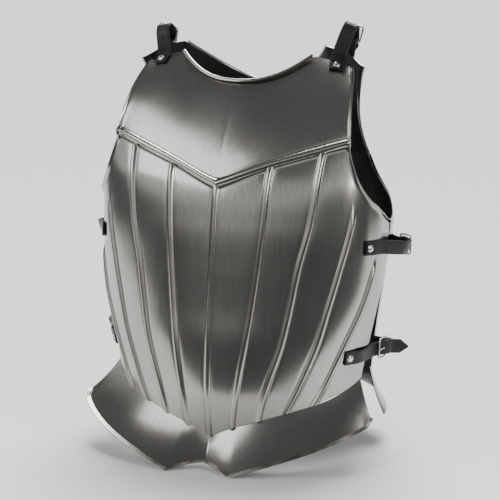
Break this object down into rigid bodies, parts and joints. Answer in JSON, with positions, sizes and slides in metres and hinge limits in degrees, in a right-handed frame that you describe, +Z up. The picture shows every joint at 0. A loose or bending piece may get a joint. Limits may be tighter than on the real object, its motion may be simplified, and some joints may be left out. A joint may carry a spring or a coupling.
{
  "type": "steel cuirass",
  "caption": "Fluted steel breastplate and plain backplate with flared skirts, joined by buckled black leather straps at the shoulders and sides.",
  "frame": {"origin": "centre of the bounding box's footprint, on the floor the two skirts stand on", "axes": "+Z up to the shoulders; the breastplate faces -Y; the wearer's left side is +X"},
  "size_m": [0.4572, 0.3446, 0.5774],
  "materials": {
    "steel": "satin-polished sheet steel outside, black-painted inside",
    "leather": "black harness leather",
    "fittings": "bright nickel-plated"
  },
  "bodies": {
    "root": {"breastplate": "steel", "front_skirt": "steel", "backplate": "steel", "back_skirt": "steel", "left_upper_side_front_strap": "leather", "left_upper_side_back_strap": "leather", "left_upper_side_buckle": "fittings", "left_upper_side_prong": "fittings", "left_upper_side_front_rivet": "fittings", "left_upper_side_back_rivet": "fittings", "left_lower_side_front_strap": "leather", "left_lower_side_back_strap": "leather", "left_lower_side_buckle": "fittings", "left_lower_side_prong": "fittings", "left_lower_side_front_rivet": "fittings", "left_lower_side_back_rivet": "fittings", "left_shoulder_front_strap": "leather", "left_shoulder_back_strap": "leather", "left_shoulder_buckle": "fittings", "left_shoulder_prong": "fittings", "left_shoulder_front_rivet": "fittings", "left_shoulder_back_rivet": "fittings", "right_upper_side_front_strap": "leather", "right_upper_side_back_strap": "leather", "right_upper_side_buckle": "fittings", "right_upper_side_prong": "fittings", "right_upper_side_front_rivet": "fittings", "right_upper_side_back_rivet": "fittings", "right_lower_side_front_strap": "leather", "right_lower_side_back_strap": "leather", "right_lower_side_buckle": "fittings", "right_lower_side_prong": "fittings", "right_lower_side_front_rivet": "fittings", "right_lower_side_back_rivet": "fittings", "right_shoulder_front_strap": "leather", "right_shoulder_back_strap": "leather", "right_shoulder_buckle": "fittings", "right_shoulder_prong": "fittings", "right_shoulder_front_rivet": "fittings", "right_shoulder_back_rivet": "fittings"}
  },
  "joints": []
}
